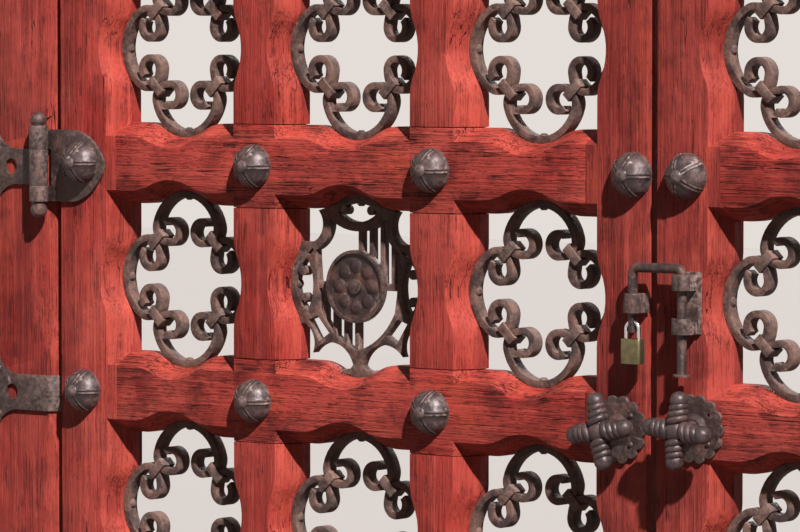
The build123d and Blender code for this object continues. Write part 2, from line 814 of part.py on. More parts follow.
def strap_nail():
    """A nail with a low round head, driven through a strap."""
    head = Pos(0, -strap_thickness - 2, 0) * Rot(90, 0, 0) * Cone(strap_nail_head_radius, strap_nail_radius, 4)
    return head + rod_back(strap_nail_radius, -strap_thickness, strap_nail_length)


def knob_side(base, way, neck_length):
    """The side of a ball-shaped knob at a pin's end, from the pin to the knob's tip."""
    foot = (finial_neck_radius, base)
    throat = (finial_neck_radius, base + way * neck_length)
    middle = throat[1] + way * math.sqrt(finial_radius**2 - finial_neck_radius**2)
    tip = (0, middle + way * finial_radius)
    return [
        Line((pin_radius, base), foot),
        Line(foot, throat),
        ThreePointArc(throat, (finial_radius, middle), tip),
    ]


def hinge_pin():
    """A hinge pin with a knob at each end."""
    low, high = knuckle_bottom - knuckle_gap, knuckle_top + knuckle_gap
    top, bottom = knob_side(high, 1, top_neck_length), knob_side(low, -1, bottom_neck_length)
    edges = top + bottom + [Line((pin_radius, low), (pin_radius, high)), Line(top[2] @ 1, bottom[2] @ 1)]
    return Pos(-pivot_back, -pivot_forward, 0) * revolve(Plane.XZ * make_face(edges), axis=Axis.Z)


def facet_wedge(length):
    """What one run of the jamb's wide facet takes off, with a ramped stop at each end."""
    slope = edge_facet_depth / edge_facet_width
    inner_x = -edge_facet_width + face_facet_depth / slope
    triangle = [(-face_facet_width, 0), (inner_x, face_facet_depth), (inner_x + 2, 0)]
    small = [(-edge_facet_width - 1, 0), (-edge_facet_width + 0.5, 0.5 * slope), (inner_x + 2, 0)]
    triangle = [(x, y) for x, y in triangle] + [(inner_x + 2, -1), (-face_facet_width, -1)]
    small = small + [(inner_x + 2, -1), (-edge_facet_width - 1, -1)]
    full = make_face(Polyline(*triangle, close=True))
    end = make_face(Polyline(*small, close=True))
    half = length / 2 - facet_stop_length
    wedge = Pos(0, 0, -half) * extrude(full, amount=2 * half)
    ramp = loft([Pos(0, 0, half) * full, Pos(0, 0, half + facet_stop_length) * end], ruled=True)
    return wedge + ramp + mirror(ramp, about=Plane.XY)


def jamb():
    """The left jamb: rebated, with a faceted front edge whose wide facet stops at the straps."""
    low_x, high_x = jamb_edge - jamb_width, jamb_edge + rebate_depth
    base, top = -ground_gap, jamb_height - ground_gap
    timber = block(low_x, high_x, 0, jamb_depth, base, top)
    rebate = leaf_depth + rebate_gap
    timber -= block(jamb_edge, high_x + 1, -1, rebate, base - 1, top + 1)
    edge = [(-edge_facet_width, 0), (0, edge_facet_depth), (1, edge_facet_depth), (1, -1), (-edge_facet_width, -1)]
    edge_cut = extrude(make_face(Polyline(*edge, close=True)), amount=top - base + 2)
    timber -= Pos(jamb_edge, 0, base - 1) * edge_cut
    wedge = facet_wedge(row_pitch - 2 * facet_stop_clear)
    for row in range(1, rows + 1):
        timber -= Pos(jamb_edge, 0, row_middle(row)) * wedge
    for number in range(1, rows + 2):
        for x_middle, z_middle in strap_nail_places():
            hole = rod_back(strap_nail_radius + nail_gap, -1, strap_nail_length + nail_gap)
            timber -= Pos(x_middle, 0, rail_middle(number) + strap_middle + z_middle) * hole
    front = (jamb_depth - head_tenon_thickness) / 2
    tongue = block(
        low_x + rebate_depth, jamb_edge - rebate_depth, front, front + head_tenon_thickness, top, top + head_tenon_height
    )
    return timber + tongue


def head_beam():
    """The beam across the jambs, rebated for the leaves and mortised for the jambs."""
    top = jamb_height + head_height
    beam = block(-gate_half_width, gate_half_width, 0, jamb_depth, jamb_height - rebate_depth, top)
    rebate = leaf_depth + rebate_gap
    inner = gate_half_width - jamb_width
    beam -= block(-inner + rebate_depth, inner - rebate_depth, -1, rebate, jamb_height - rebate_depth - 1, jamb_height)
    for side in (-1, 1):
        near, far = inner - rebate_depth, gate_half_width + 1
        low_x, high_x = (near, far) if side > 0 else (-far, -near)
        beam -= block(low_x, high_x, -1, jamb_depth + 1, jamb_height - rebate_depth - 1, jamb_height)
    edge = [(-edge_facet_depth, 0), (0, edge_facet_width), (1, edge_facet_width), (1, -1), (-edge_facet_depth, -1)]
    edge_face = Plane.YZ * make_face(Polyline(*[(depth_y, -drop) for drop, depth_y in edge], close=True))
    cut = extrude(edge_face, amount=inner, both=True)
    beam -= Pos(0, 0, jamb_height) * cut
    front = (jamb_depth - head_tenon_thickness) / 2 - joint_gap
    back = front + head_tenon_thickness + 2 * joint_gap
    for side in (-1, 1):
        near = inner + rebate_depth - joint_gap
        far = gate_half_width - rebate_depth + joint_gap
        low_x, high_x = (near, far) if side > 0 else (-far, -near)
        beam -= block(low_x, high_x, front, back, jamb_height, jamb_height + head_tenon_height + joint_gap)
    return Pos(0, front_face, 0) * beam


def rose():
    """The scalloped plate behind a handle, drilled for its spindle and screws."""
    ring = rose_radius - rose_scallop_radius
    outline = Circle(ring + rose_scallop_radius / 2)
    for index in range(rose_scallops):
        outline += Rot(0, 0, 360 / rose_scallops * index) * Pos(ring, 0) * Circle(rose_scallop_radius)
    plate = slab(outline, -rose_thickness, 0)
    swell = Cone(rose_collar_radius, neck_radius + 2, rose_collar_height)
    plate += Pos(0, -rose_thickness - rose_collar_height / 2, 0) * Rot(90, 0, 0) * swell
    plate -= rod_back(spindle_radius + spindle_running_gap, -2 * rose_radius, 1)
    hole = rod_back(rose_screw_radius + nail_gap, -2 * rose_thickness, 1)
    for angle in rose_screw_angles + (rose_spare_angle,):
        plate -= Rot(0, -angle, 0) * Pos(rose_screw_ring, 0, 0) * hole
    return plate


def rose_screws(angles):
    """The round-headed screws of a rose, driven into the stile."""
    head = Pos(0, -rose_thickness - 1.5, 0) * Rot(90, 0, 0) * Cone(rose_screw_head_radius, rose_screw_radius, 3)
    screw = head + rod_back(rose_screw_radius, -rose_thickness, rose_screw_length)
    return [Rot(0, -angle, 0) * Pos(rose_screw_ring, 0, 0) * screw for angle in angles]


def ribbed_arm(slant):
    """One arm of a handle, tapered, with slanting beads like a screw, towards +X."""
    run = arm_length - arm_tip_radius
    arm = Pos(run / 2, 0, 0) * Rot(0, 90, 0) * Cone(arm_root_radius - bead_groove, arm_tip_radius - bead_groove, run)
    pitch = (run - first_bead) / arm_beads
    for index in range(arm_beads):
        radius = arm_root_radius - (arm_root_radius - arm_tip_radius) * (index + 1) / (arm_beads + 1)
        bead = Torus(radius - bead_round, bead_round)
        arm += Pos(first_bead + index * pitch, 0, 0) * Rot(0, 90 - slant, 0) * bead
    return arm + Pos(run, 0, 0) * Sphere(arm_tip_radius)


def handle(tilt, slant):
    """A four-armed handle on its neck, with the spindle that runs through the leaf."""
    arm = ribbed_arm(slant)
    cross = Sphere(hub_radius)
    for index in range(4):
        cross += Rot(0, 90 * index, 0) * arm
    cross = Pos(0, -handle_standoff, 0) * Rot(0, -tilt, 0) * cross
    neck = rod_back(neck_radius, -handle_standoff, -rose_thickness - rose_collar_height - nut_gap)
    spindle = rod_back(spindle_radius, -handle_standoff, leaf_depth + nut_thickness + 2 * nut_gap)
    return cross + neck + spindle


def handle_nut():
    """The square nut that holds a spindle at the back of the leaf."""
    outline = Rectangle(nut_width, nut_width) - Circle(spindle_radius)
    return slab(outline, leaf_depth + nut_gap, leaf_depth + nut_gap + nut_thickness)


def at_handle(piece, place):
    """Moves a handle's piece to its place on the meeting stile."""
    inset, drop = place
    return Pos(leaf_width - inset, 0, rail_middle(handle_rail) - drop) * piece


def rod_axis(x_middle):
    """A place on the meeting edge at the bolt's own depth and height."""
    return Pos(x_middle, -rod_standoff, bolt_height)


def sliding_bolt():
    """The bent rod of the bolt, with a stop on its long leg and a padlock hole in the short one."""
    span = bolt_inset + meeting_gap + bolt_reach
    corners = [(0, 0, short_leg_end), (0, 0, rod_top), (span, 0, rod_top), (span, 0, long_leg_end)]
    path = FilletPolyline(*corners, radius=rod_bend_radius)
    rod = sweep(Plane.XY.offset(short_leg_end) * Circle(rod_radius), path=path)
    rod += Pos(span, 0, long_leg_end + stop_thickness / 2) * Cylinder(stop_radius, stop_thickness)
    shaving = Box(rod_radius, 3 * rod_radius, tip_length)
    for side in (-1, 1):
        shaving_x = side * (tip_thickness + rod_radius) / 2
        rod -= Pos(shaving_x, 0, short_leg_end + tip_length / 2) * shaving
    return rod - Pos(0, 0, padlock_hole_height) * Rot(0, 90, 0) * Cylinder(padlock_hole_radius, 4 * rod_radius)


def bolt_eye():
    """A bent eye that guides the rod, standing on its plate."""
    outline = Circle(bolt_eye_radius)
    outline += Pos(0, rod_standoff / 2) * Rectangle(2 * bolt_eye_radius, rod_standoff)
    outline -= Circle(rod_radius + rod_gap)
    return extrude(outline, amount=bolt_eye_height / 2, both=True)


def bolt_plate():
    """The back plate of the bolt with its two eyes, around the long leg."""
    half_width, half_height = bolt_plate_width / 2, bolt_plate_height / 2
    front = rod_standoff - bolt_plate_thickness
    plate = block(-half_width, half_width, front, rod_standoff, -half_height, half_height)
    for middle in bolt_eye_middles:
        plate += Pos(0, 0, middle) * bolt_eye()
    return plate


def bolt_keeper():
    """The tapered eye on the left leaf that the bolt's short leg drops into."""
    low = keeper_top - keeper_height
    sections = []
    for width, height in ((keeper_width, low), (keeper_width - 4, keeper_top)):
        outline = Circle(width / 2) + Pos(0, rod_standoff / 2) * Rectangle(width, rod_standoff)
        sections.append(Pos(0, 0, height) * outline)
    body = loft(sections, ruled=True)
    body -= block(-keeper_width, keeper_width, rod_standoff, 2 * rod_standoff, low - 1, keeper_top + 1)
    return body - Pos(0, 0, (low + keeper_top) / 2) * Cylinder(rod_radius + rod_gap, 2 * keeper_height)


def shackle_bend_middle():
    """Height of the middle of the shackle's bend as it hangs in the bolt's hole."""
    return padlock_hole_height - shackle_bend


def padlock_shackle():
    """The bent bar of the padlock, its arch hung in the bolt's hole."""
    low = -shackle_rise - shackle_sunk
    legs = [Line((side * shackle_bend, 0, low), (side * shackle_bend, 0, 0)) for side in (-1, 1)]
    arch = ThreePointArc((-shackle_bend, 0, 0), (0, 0, shackle_bend), (shackle_bend, 0, 0))
    path = Wire([legs[0], arch, legs[1]])
    bar = sweep(Pos(-shackle_bend, 0, low) * Circle(shackle_radius), path=path)
    return Pos(0, 0, shackle_bend_middle()) * bar


def padlock_body():
    """The padlock's block, bored for the shackle and slotted for its key."""
    outline = RectangleRounded(padlock_width, padlock_depth, padlock_corner)
    body = extrude(outline, amount=-padlock_height)
    bore = Cylinder(shackle_radius + nail_gap, shackle_sunk + nail_gap)
    for side in (-1, 1):
        body -= Pos(side * shackle_bend, 0, -(shackle_sunk + nail_gap) / 2) * bore
    body -= Pos(0, 0, -padlock_height) * Box(keyway_length, keyway_width, 2 * keyway_depth)
    return Pos(0, 0, shackle_bend_middle() - shackle_rise) * body


def write_frame():
    """Jambs, beam, straps and pins."""
    left_jamb = place_left(jamb())
    save("left_jamb", [left_jamb])
    save("right_jamb", [to_right(left_jamb)])
    save("head_beam", [head_beam()])
    strap, band, pin, nail = hinge_strap(), band_strap(), hinge_pin(), strap_nail()
    for name, number in zip(("top", "middle", "bottom"), hinge_rails):
        placed = place_left(Pos(0, 0, rail_middle(number)) * strap)
        save(f"left_{name}_hinge_strap", [placed])
        save(f"right_{name}_hinge_strap", [to_right(placed)])
    bands = [place_left(Pos(0, 0, rail_middle(number)) * band) for number in band_rails]
    save("left_band_straps", bands)
    save("right_band_straps", [to_right(piece) for piece in bands])
    pins = [place_left(Pos(0, 0, rail_middle(number)) * pin) for number in hinge_rails]
    save("left_hinge_pins", pins)
    save("right_hinge_pins", [to_right(piece) for piece in pins])
    nails = []
    for number in range(1, rows + 2):
        for x_middle, z_middle in strap_nail_places():
            nails.append(place_left(Pos(x_middle, 0, rail_middle(number) + strap_middle + z_middle) * nail))
    save("strap_nails", nails + [to_right(piece) for piece in nails])


def write_lattice():
    """The timbers and the ironwork that both leaves share."""
    cutter = cell_cutter()
    placed = {
        "hinge_stile": [hinge_stile(cutter)],
        "muntins": muntins(cutter),
        "scrolls": in_every_grille(grille_scrolls()),
        "collars": in_every_grille(grille_collars()),
        "grille_nails": in_every_grille(cell_nails(bar_thickness)) + [in_middle_cell(n) for n in shield_nails()],
        "shield": [in_middle_cell(shield())],
        "medallion": [in_middle_cell(medallion())],
    }
    plate = leaf_hinge_plate()
    placed["hinge_plates"] = [Pos(0, 0, rail_middle(number)) * plate for number in hinge_rails]
    for number in range(1, rows + 2):
        timber = rail(number, cutter)
        if number != handle_rail:
            placed[f"rail_{number}"] = [timber]
            continue
        save(f"left_rail_{number}", [place_left(timber - handle_bore(left_handle_place))])
        save(f"right_rail_{number}", [to_right(place_left(timber - handle_bore(right_handle_place)))])
    for name, pieces in placed.items():
        left = [place_left(piece) for piece in pieces]
        save(f"left_{name}", left)
        save(f"right_{name}", [to_right(piece) for piece in left])
    return cutter


def write_meeting_side(side, cutter, boss_inset, place, tilt, screw_angles):
    """What differs between the two leaves: the meeting stile, its bosses and its handle."""
    mirrored = side == "right"
    slant = -bead_slant if mirrored else bead_slant
    pieces = {
        "meeting_stile": [meeting_stile(cutter, boss_inset, place)],
        "bosses": bosses(boss_inset),
        "rose": [at_handle(rose(), place)],
        "rose_screws": [at_handle(screw, place) for screw in rose_screws(screw_angles)],
        "handle": [at_handle(handle(tilt, slant), place)],
        "handle_nut": [at_handle(handle_nut(), place)],
    }
    for name, group in pieces.items():
        placed = [place_left(piece) for piece in group]
        save(f"{side}_{name}", [to_right(piece) for piece in placed] if mirrored else placed)


def write_bolt():
    """The bolt on the right leaf, its keeper on the left leaf and the padlock on it."""
    base = Pos(0, front_face, ground_gap)
    keeper_x = -meeting_gap / 2 - bolt_reach
    plate_x = meeting_gap / 2 + bolt_inset
    save("bolt_plate", [base * rod_axis(plate_x) * bolt_plate()])
    save("bolt_keeper", [base * rod_axis(keeper_x) * bolt_keeper()])
    save("sliding_bolt", [base * rod_axis(keeper_x) * sliding_bolt()])
    save("padlock_shackle", [base * rod_axis(keeper_x) * padlock_shackle()])
    save("padlock_body", [base * rod_axis(keeper_x) * padlock_body()])


write_frame()
cell_tool = write_lattice()
all_screw_angles = rose_screw_angles + (rose_spare_angle,)
write_meeting_side("left", cell_tool, left_boss_inset, left_handle_place, left_handle_tilt, all_screw_angles)
write_meeting_side("right", cell_tool, right_boss_inset, right_handle_place, right_handle_tilt, rose_screw_angles)
write_bolt()
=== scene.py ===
import json
import math

import bpy
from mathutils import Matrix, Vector

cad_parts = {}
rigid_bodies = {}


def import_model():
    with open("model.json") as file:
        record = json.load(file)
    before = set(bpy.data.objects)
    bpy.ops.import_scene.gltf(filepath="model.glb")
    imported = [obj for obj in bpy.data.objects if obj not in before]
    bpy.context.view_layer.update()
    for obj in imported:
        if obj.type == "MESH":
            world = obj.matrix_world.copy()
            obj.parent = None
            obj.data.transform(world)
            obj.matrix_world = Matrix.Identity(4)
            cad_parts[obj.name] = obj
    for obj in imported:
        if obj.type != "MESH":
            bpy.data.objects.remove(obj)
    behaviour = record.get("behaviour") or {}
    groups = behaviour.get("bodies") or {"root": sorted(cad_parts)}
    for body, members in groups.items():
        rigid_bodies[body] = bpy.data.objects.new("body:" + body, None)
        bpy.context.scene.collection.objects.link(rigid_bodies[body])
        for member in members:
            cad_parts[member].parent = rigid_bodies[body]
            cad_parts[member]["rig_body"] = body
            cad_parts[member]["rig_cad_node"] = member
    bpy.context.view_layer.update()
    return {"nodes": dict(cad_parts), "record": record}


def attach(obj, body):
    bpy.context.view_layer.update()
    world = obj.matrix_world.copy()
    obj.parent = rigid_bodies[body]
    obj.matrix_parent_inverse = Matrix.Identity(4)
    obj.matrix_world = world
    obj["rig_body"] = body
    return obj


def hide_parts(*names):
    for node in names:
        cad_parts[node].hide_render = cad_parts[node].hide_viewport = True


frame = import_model()
nodes = frame["nodes"]
bodies = frame["record"]["behaviour"]["bodies"]
bodyOf = {nodeName: body for body, names in bodies.items() for nodeName in names}
print("frame loaded:", len(nodes), "nodes")


def deselectAll():
    if bpy.context.mode != "OBJECT":
        bpy.ops.object.mode_set(mode="OBJECT")
    bpy.ops.object.select_all(action="DESELECT")


def pick(piece):
    deselectAll()
    piece.select_set(True)
    bpy.context.view_layer.objects.active = piece


# Inputs and outputs give the kind of each socket by its name
def newGroup(name, inputs, outputs):
    group = bpy.data.node_groups.new(name, "ShaderNodeTree")
    for socketName, kind in inputs.items():
        group.interface.new_socket(socketName, in_out="INPUT", socket_type="NodeSocket" + kind)
    for socketName, kind in outputs.items():
        group.interface.new_socket(socketName, in_out="OUTPUT", socket_type="NodeSocket" + kind)
    entry = group.nodes.new("NodeGroupInput")
    leave = group.nodes.new("NodeGroupOutput")
    return group, entry, leave


def addNode(tree, kind, values=None, **settings):
    node = tree.nodes.new(kind)
    for name, value in settings.items():
        setattr(node, name, value)
    for name, value in (values or {}).items():
        node.inputs[name].default_value = value
    return node


def link(tree, fromSocket, toSocket):
    tree.links.new(fromSocket, toSocket)


# Writes a plain value into an input, or links a socket to it
def feed(tree, value, toSocket):
    if isinstance(value, (int, float, tuple)):
        toSocket.default_value = value
    else:
        link(tree, value, toSocket)


def addMath(tree, operation, first, second=None, clamp=False):
    node = addNode(tree, "ShaderNodeMath", operation=operation, use_clamp=clamp)
    feed(tree, first, node.inputs[0])
    if second is not None:
        feed(tree, second, node.inputs[1])
    return node.outputs[0]


def addProduct(tree, first, second, clamp=False):
    return addMath(tree, "MULTIPLY", first, second, clamp)


# A colour mix has its colours at inputs 6 and 7 and its result at output 2
def addMix(tree, factor, colourA, colourB):
    node = addNode(tree, "ShaderNodeMix", data_type="RGBA")
    feed(tree, factor, node.inputs[0])
    feed(tree, colourA, node.inputs[6])
    feed(tree, colourB, node.inputs[7])
    return node.outputs[2]


# Lays one colour over another where the mask is, as strongly as said
def addLayer(tree, colour, mask, strength, over):
    return addMix(tree, addProduct(tree, mask, strength), colour, over)


# Sums masks into a height; a strength below zero cuts in
def addHeight(tree, parts):
    (firstMask, firstStrength), *others = parts
    height = addProduct(tree, firstMask, firstStrength)
    for mask, strength in others:
        height = addMath(tree, "ADD", height, addProduct(tree, mask, strength))
    return height


def addRamp(tree, factor, low, high):
    node = addNode(tree, "ShaderNodeMapRange", {"From Min": low, "From Max": high}, clamp=True)
    link(tree, factor, node.inputs["Value"])
    return node.outputs["Result"]


def addNoise(tree, vector, scale, detail, roughness=0.5, distortion=0.0):
    values = {"Scale": scale, "Detail": detail, "Roughness": roughness, "Distortion": distortion}
    node = addNode(tree, "ShaderNodeTexNoise", values)
    link(tree, vector, node.inputs["Vector"])
    return node.outputs["Fac"]


# Thin lines where a noise crosses its middle value
def addHairlines(tree, noise, width):
    distance = addMath(tree, "ABSOLUTE", addMath(tree, "SUBTRACT", noise, 0.5))
    return addMath(tree, "SUBTRACT", 1.0, addRamp(tree, distance, 0.0, width))


def addColour(tree, colour):
    output = addNode(tree, "ShaderNodeRGB").outputs[0]
    output.default_value = colour
    return output


edgeWearAndHollowShadeLooks = {
    "gain": 14.0,
    "breakup": {"Detail": 4.0, "Roughness": 0.65},
    "breakupRamp": (0.38, 0.62),
    "hollowStart": 0.49,  # pointiness is about 0.5 on a flat face and less in a hollow
    "hollowGain": 12.0,
}


# Worn edges and painted shade: a mask where a corner sticks out, broken up by a coarse noise, and a
# mask of hollows where shade is painted
def makeEdgeWearAndHollowShade():
    inputs = {"Vector": "Vector", "Amount": "Float", "Start": "Float", "Breakup": "Float"}
    group, entry, leave = newGroup("edgeWearAndHollowShade", inputs, {"Mask": "Float", "HollowShade": "Float"})
    looks = edgeWearAndHollowShadeLooks
    point = addNode(group, "ShaderNodeNewGeometry").outputs["Pointiness"]
    over = addMath(group, "SUBTRACT", point, entry.outputs["Start"])
    edge = addProduct(group, over, looks["gain"], clamp=True)
    noise = addNode(group, "ShaderNodeTexNoise", looks["breakup"])
    link(group, entry.outputs["Vector"], noise.inputs["Vector"])
    link(group, entry.outputs["Breakup"], noise.inputs["Scale"])
    broken = addProduct(group, edge, addRamp(group, noise.outputs["Fac"], *looks["breakupRamp"]))
    mask = addProduct(group, broken, entry.outputs["Amount"], clamp=True)
    link(group, mask, leave.inputs["Mask"])
    # The hollow mask marks creases and grooves for painted shade
    under = addMath(group, "SUBTRACT", looks["hollowStart"], point)
    link(group, addProduct(group, under, looks["hollowGain"], clamp=True), leave.inputs["HollowShade"])
    return group


edgeWearAndHollowShade = makeEdgeWearAndHollowShade()


# noises: scale, detail, roughness and distortion; ramps: the noise values from none to all of a mask;
# layers: how strongly a mask colours the paint; heights: its share of the bump
paintLooks = {
    "noises": {
        "bands": (30.0, 3.0, 0.55),
        "streaks": (130.0, 4.0, 0.6, 0.2),
        "fibres": (420.0, 3.0, 0.6),
        "pores": (430.0, 3.0, 0.6, 0.2),
        "cloud": (3.2, 4.0, 0.6),
        "grime": (17.0, 6.0, 0.68),
        "mottle": (42.0, 6.0, 0.68),
        "checks": (40.0, 3.0, 0.55, 0.3),
        "checkPlaces": (12.0, 3.0),
        "cracks": (95.0, 3.0, 0.5, 0.2),
        "chips": (80.0, 6.0, 0.72),
    },
    "ramps": {
        "bands": (0.52, 0.30),
        "streaks": (0.50, 0.32),
        "fibres": (0.47, 0.37),
        "pores": (0.56, 0.66),
        "cloud": (0.36, 0.64),
        "grime": (0.47, 0.68),
        "freshAndPaintedLight": (0.36, 0.56),
        "lighter": (0.52, 0.70),
        "checkPlaces": (0.54, 0.62),
        "crackPlaces": (0.44, 0.56),
        "chips": (0.71, 0.73),
    },
    "layers": {
        "freshAndPaintedLight": 0.7,
        "grime": 0.68,
        "bands": 0.33,
        "streaks": 0.24,
        "fibres": 0.46,
        "lighter": 0.65,
        "pores": 0.42,
        "chips": 0.75,
        "cracks": 0.8,
        "checks": 0.95,
    },
    "heights": {
        "streaks": 0.6,
        "fibres": 0.3,
        "bands": 1.4,
        "pores": -0.30,
        "checks": -1.2,
        "cracks": -0.8,
        "chips": -0.3,
    },
    "checkWidth": 0.007,
    "crackWidth": 0.022,
    "shortening": 0.10,  # how far the short marks are drawn back from the full length of the grain
    "leastGrime": 0.3,  # share of the grime that stays on sheltered timber
    "crackColour": (0.010, 0.003, 0.003, 1),
    "wear": {"Amount": 0.75, "Start": 0.53, "Breakup": 28.0},
    "roughness": 0.42,
    "streakRoughness": 0.35,
}


# Old paint over coarse grain: Vector is drawn out along the timber, Place is not; Sloped brings a
# painted highlight and Shade a painted shade
def makeWeatheredPaint():
    inputs = {"Vector": "Vector", "Place": "Vector", "Sloped": "Float", "Shade": "Float"}
    inputs.update({"Weather": "Float", "Paint": "Color", "Faded": "Color", "FreshAndPaintedLight": "Color"})
    inputs.update({"Deep": "Color", "Bare": "Color"})
    outputs = {"Color": "Color", "Roughness": "Float", "Height": "Float"}
    group, entry, leave = newGroup("weatheredPaint", inputs, outputs)
    looks = paintLooks
    layers = looks["layers"]
    along = entry.outputs["Vector"]
    place = entry.outputs["Place"]
    weather = entry.outputs["Weather"]
    faded = entry.outputs["Faded"]
    freshAndPaintedLight = entry.outputs["FreshAndPaintedLight"]
    deep = entry.outputs["Deep"]
    shortened = addNode(group, "ShaderNodeMix", {"Factor": looks["shortening"]}, data_type="VECTOR")
    link(group, along, shortened.inputs[4])
    link(group, place, shortened.inputs[5])
    short = shortened.outputs[1]

    def noiseOf(name, vector):
        return addNoise(group, vector, *looks["noises"][name])

    def rampOf(name, noise):
        return addRamp(group, noise, *looks["ramps"][name])

    bands = noiseOf("bands", along)
    streaks = noiseOf("streaks", along)
    fibres = noiseOf("fibres", along)
    cloud = noiseOf("cloud", place)
    grime = noiseOf("grime", place)
    mottle = noiseOf("mottle", short)
    wide = addHairlines(group, noiseOf("checks", along), looks["checkWidth"])
    checks = addProduct(group, wide, rampOf("checkPlaces", noiseOf("checkPlaces", place)))
    fine = addHairlines(group, noiseOf("cracks", along), looks["crackWidth"])
    cracks = addProduct(group, addProduct(group, fine, rampOf("crackPlaces", grime)), weather)
    chips = rampOf("chips", noiseOf("chips", place))
    pores = addProduct(group, rampOf("pores", noiseOf("pores", short)), weather)
    grimeShare = addProduct(group, weather, 1.0 - looks["leastGrime"])
    grimeShare = addMath(group, "ADD", looks["leastGrime"], grimeShare)

    colour = addMix(group, rampOf("cloud", cloud), entry.outputs["Paint"], faded)
    # Painted highlight: cut and rounded faces are brightened towards the fresh colour, as if lit
    cut = addProduct(group, entry.outputs["Sloped"], rampOf("freshAndPaintedLight", mottle))
    colour = addLayer(group, colour, cut, layers["freshAndPaintedLight"], freshAndPaintedLight)
    # Painted shade: the shade attribute darkens the timber towards the deep colour
    colour = addMix(group, entry.outputs["Shade"], colour, deep)
    darkening = {
        "grime": addProduct(group, rampOf("grime", grime), grimeShare),
        "bands": rampOf("bands", bands),
        "streaks": rampOf("streaks", streaks),
        "fibres": addProduct(group, rampOf("fibres", fibres), weather),
    }
    for name, mask in darkening.items():
        colour = addLayer(group, colour, mask, layers[name], deep)
    colour = addLayer(group, colour, rampOf("lighter", mottle), layers["lighter"], faded)
    colour = addLayer(group, colour, pores, layers["pores"], deep)
    colour = addLayer(group, colour, chips, layers["chips"], entry.outputs["Bare"])
    dark = addColour(group, looks["crackColour"])
    colour = addLayer(group, colour, cracks, layers["cracks"], dark)
    colour = addLayer(group, colour, checks, layers["checks"], dark)
    wear = addNode(group, "ShaderNodeGroup", node_tree=edgeWearAndHollowShade)
    for socketName, value in looks["wear"].items():
        wear.inputs[socketName].default_value = value
    link(group, place, wear.inputs["Vector"])
    colour = addMix(group, wear.outputs["Mask"], colour, freshAndPaintedLight)
    link(group, colour, leave.inputs["Color"])

    rough = addProduct(group, streaks, looks["streakRoughness"])
    rough = addMath(group, "ADD", rough, looks["roughness"], clamp=True)
    link(group, rough, leave.inputs["Roughness"])
    masks = {"streaks": streaks, "fibres": fibres, "bands": bands, "pores": pores}
    masks.update({"checks": checks, "cracks": cracks, "chips": chips})
    height = addHeight(group, [(masks[name], share) for name, share in looks["heights"].items()])
    link(group, height, leave.inputs["Height"])
    return group


weatheredPaint = makeWeatheredPaint()


forgedLooks = {
    "patches": (34.0, 5.0, 0.65),
    "scale": (210.0, 4.0, 0.65),
    "fine": (900.0, 2.0, 0.6),
    "dents": {"Scale": 115.0, "Smoothness": 0.8},
    "patchShare": 0.7,
    "scaleShare": 0.3,
    "rustStart": 0.85,
    "rustGain": 7.0,
    "rustLayer": 0.85,
    "speckleRamp": (0.56, 0.74),
    "sootRamp": (0.55, 0.38),
    "sootLayer": 0.5,
    "wearBreakup": 140.0,
    # Painted shade in hollows: its colour and how strongly it is laid
    "hollowShadeColour": (0.012, 0.008, 0.008, 1),
    "hollowShadeLayer": 0.6,
    "rustRoughness": 0.22,
    "scaleRoughness": 0.16,
    "rustMetal": 0.2,
    "dentHeight": 0.9,
    "scaleHeight": 0.5,
    "fineHeight": 0.12,
}


